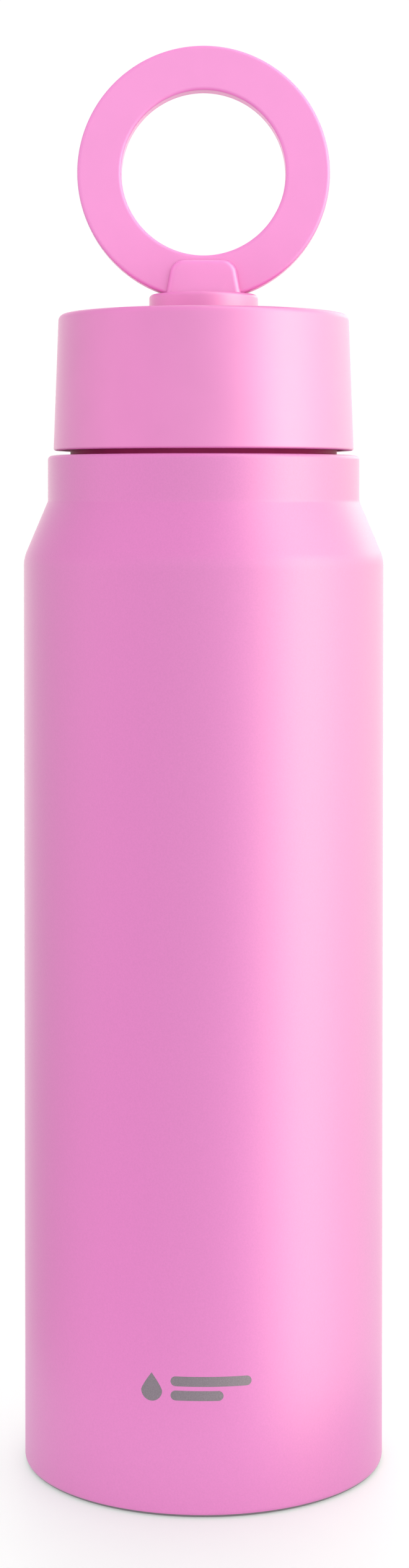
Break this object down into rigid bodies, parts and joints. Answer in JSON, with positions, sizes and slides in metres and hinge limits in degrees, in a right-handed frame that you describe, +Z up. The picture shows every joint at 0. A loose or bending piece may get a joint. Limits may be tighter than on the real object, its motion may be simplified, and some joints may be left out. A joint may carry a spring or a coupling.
{
  "type": "shaker bottle",
  "caption": "Slim double-walled steel bottle with a pink coat, a screw lid, and on the lid a swivelling turret that carries a tilting flat magnetic ring.",
  "frame": {"origin": "centre of the base, on the surface that the bottle stands on", "axes": "+Z up along the bottle's axis; -Y is the front, the side of the ring's tongue; the ring's flat face for a phone looks to +Y"},
  "size_m": [0.08, 0.08, 0.3143],
  "materials": {
    "body_coat": "satin pearl powder coat",
    "lid_plastic": "satin moulded plastic",
    "ring_plastic": "satin moulded plastic",
    "plug_plastic": "smooth moulded plastic",
    "steel": "brushed",
    "hardware": "bright",
    "silicone": "matte",
    "dark_rubber": "matte",
    "foam": "matte foam",
    "grid_plastic": "natural moulded plastic",
    "solder_glass": "glassy",
    "magnet": "nickel plated"
  },
  "bodies": {
    "bottle": {"outer_shell": "body_coat", "inner_liner": "steel", "base_plate": "steel", "base_cover": "steel", "vacuum_seal_bead": "solder_glass", "getter": "hardware", "getter_clip": "hardware"},
    "lid_seal": {"lid_gasket": "silicone"},
    "lid": {"lid_shell": "lid_plastic", "lid_plug": "plug_plastic", "lid_insulation": "foam", "plug_plate": "grid_plastic", "mixing_grid": "grid_plastic"},
    "turret": {"turret_cover": "lid_plastic", "swivel_hub": "lid_plastic", "swivel_o_ring": "dark_rubber", "swivel_wave_washer": "hardware", "swivel_retainer": "hardware", "swivel_screws": "hardware", "hinge_pin": "hardware", "friction_washers": "hardware"},
    "ring": {"ring_housing": "ring_plastic", "ring_back_plate": "ring_plastic", "ring_yoke": "hardware", "ring_magnets": "magnet", "tilt_bracket": "ring_plastic", "bracket_screws": "hardware"}
  },
  "joints": [
    {"name": "lid_lift", "type": "slide", "parent": "bottle", "child": "lid_seal", "axis": [0, 0, 1], "range_m": [0, 0.028]},
    {"name": "lid_turn", "type": "hinge", "parent": "lid_seal", "child": "lid", "pos_m": [0, 0, 0.2], "axis": [0, 0, 1], "range_deg": [0, 1260]},
    {"name": "turret_swivel", "type": "hinge", "parent": "lid", "child": "turret", "pos_m": [0, 0, 0.255], "axis": [0, 0, 1], "continuous": true},
    {"name": "ring_tilt", "type": "hinge", "parent": "turret", "child": "ring", "pos_m": [0, -0.0076, 0.2574], "axis": [1, 0, 0], "range_deg": [0, 90]}
  ],
  "couplings": [
    {"joint": "lid_lift", "follows": "lid_turn", "m_per_rad": 0.0012732}
  ]
}
